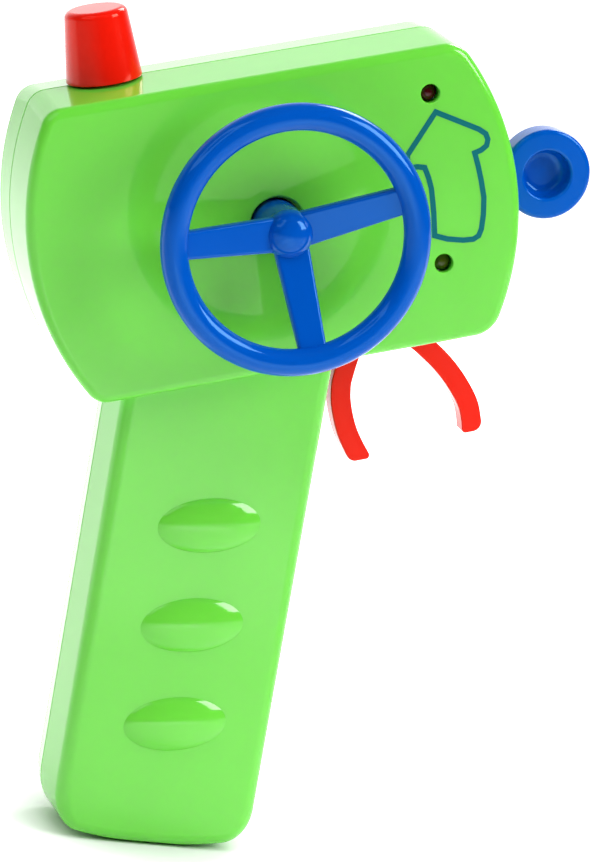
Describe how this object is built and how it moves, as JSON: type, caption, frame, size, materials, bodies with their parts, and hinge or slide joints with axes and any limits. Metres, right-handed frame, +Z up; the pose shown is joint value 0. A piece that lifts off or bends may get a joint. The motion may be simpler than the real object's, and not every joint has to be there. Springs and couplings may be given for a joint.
{
  "type": "radio transmitter controller",
  "caption": "Pistol-grip toy radio transmitter with a steering wheel on its face, a pull and push trigger, a thumb lever and a stub aerial.",
  "frame": {"origin": "middle of the flat at the bottom of the grip, on the grip's centre line", "axes": "+Z up along the grip, -Y towards the user's view of the steering wheel's face, +X towards the trigger and the thumb lever"},
  "size_m": [0.145, 0.0587, 0.2126],
  "materials": {
    "case_green": "smooth moulded plastic with a soft gloss",
    "control_blue": "glossy moulded plastic",
    "control_red": "glossy moulded plastic",
    "screw_steel": "zinc-plated steel",
    "spring_steel": "bright spring wire and plated strip",
    "crank_white": "natural acetal",
    "wiper_brass": "stamped strip",
    "coil_copper": "bare copper wire",
    "board_green": "green solder mask",
    "part_black": "black moulded package",
    "can_metal": "drawn metal can",
    "capacitor_sleeve": "shrunk plastic sleeve over an aluminium can",
    "led_red": "tinted clear epoxy",
    "led_green": "tinted clear epoxy",
    "cell_sleeve": "plain printed sleeve",
    "wire_red": "plastic insulation",
    "wire_black": "plastic insulation"
  },
  "bodies": {
    "case": {"front_shell": "case_green", "rear_shell": "case_green", "aerial_cap": "control_red", "case_screw_head_1": "screw_steel", "case_screw_head_2": "screw_steel", "case_screw_head_3": "screw_steel", "case_screw_head_4": "screw_steel", "case_screw_grip_1": "screw_steel", "case_screw_grip_2": "screw_steel", "board_screw_1": "screw_steel", "board_screw_2": "screw_steel", "trigger_pin": "screw_steel", "turbo_pin": "screw_steel", "steering_spring": "spring_steel", "trigger_spring": "spring_steel", "turbo_spring": "spring_steel", "battery_contact_link": "spring_steel", "battery_contact_positive": "spring_steel", "battery_contact_negative": "spring_steel", "aerial_coil": "coil_copper", "main_board": "board_green", "encoder_chip": "part_black", "trigger_switch_forward": "part_black", "trigger_switch_reverse": "part_black", "turbo_switch": "part_black", "crystal_can": "can_metal", "tuning_coil": "can_metal", "capacitor": "capacitor_sleeve", "red_led": "led_red", "green_led": "led_green", "battery_cell_1": "cell_sleeve", "battery_cell_2": "cell_sleeve", "supply_wire_red": "wire_red", "supply_wire_black": "wire_black"},
    "steering": {"steering_wheel": "control_blue", "steering_crank": "crank_white", "steering_wiper": "wiper_brass", "steering_screw": "screw_steel"},
    "trigger": {"trigger": "control_red"},
    "turbo_lever": {"turbo_lever": "control_blue"},
    "battery_door": {"battery_door": "case_green", "battery_door_screw": "screw_steel"}
  },
  "joints": [
    {"name": "steering_turn", "type": "hinge", "parent": "case", "child": "steering", "pos_m": [0.0037, -0.01, 0.1624], "axis": [0, 1, 0], "range_deg": [-50, 50], "stiffness_Nm_per_rad": 0.03, "deforming": ["steering_spring"]},
    {"name": "trigger_pull", "type": "hinge", "parent": "case", "child": "trigger", "pos_m": [0.03654, 0, 0.14734], "axis": [0, 1, 0], "range_deg": [-4.5, 4.5], "stiffness_Nm_per_rad": 0.4, "deforming": ["trigger_spring"]},
    {"name": "turbo_lift", "type": "hinge", "parent": "case", "child": "turbo_lever", "pos_m": [0.04746, 0, 0.17661], "axis": [0, -1, 0], "range_deg": [0, 14], "stiffness_Nm_per_rad": 0.2, "springref_deg": -5.73, "deforming": ["turbo_spring"]},
    {"name": "battery_door_off", "type": "slide", "parent": "case", "child": "battery_door", "axis": [0, 1, 0], "range_m": [0, 0.03]}
  ]
}
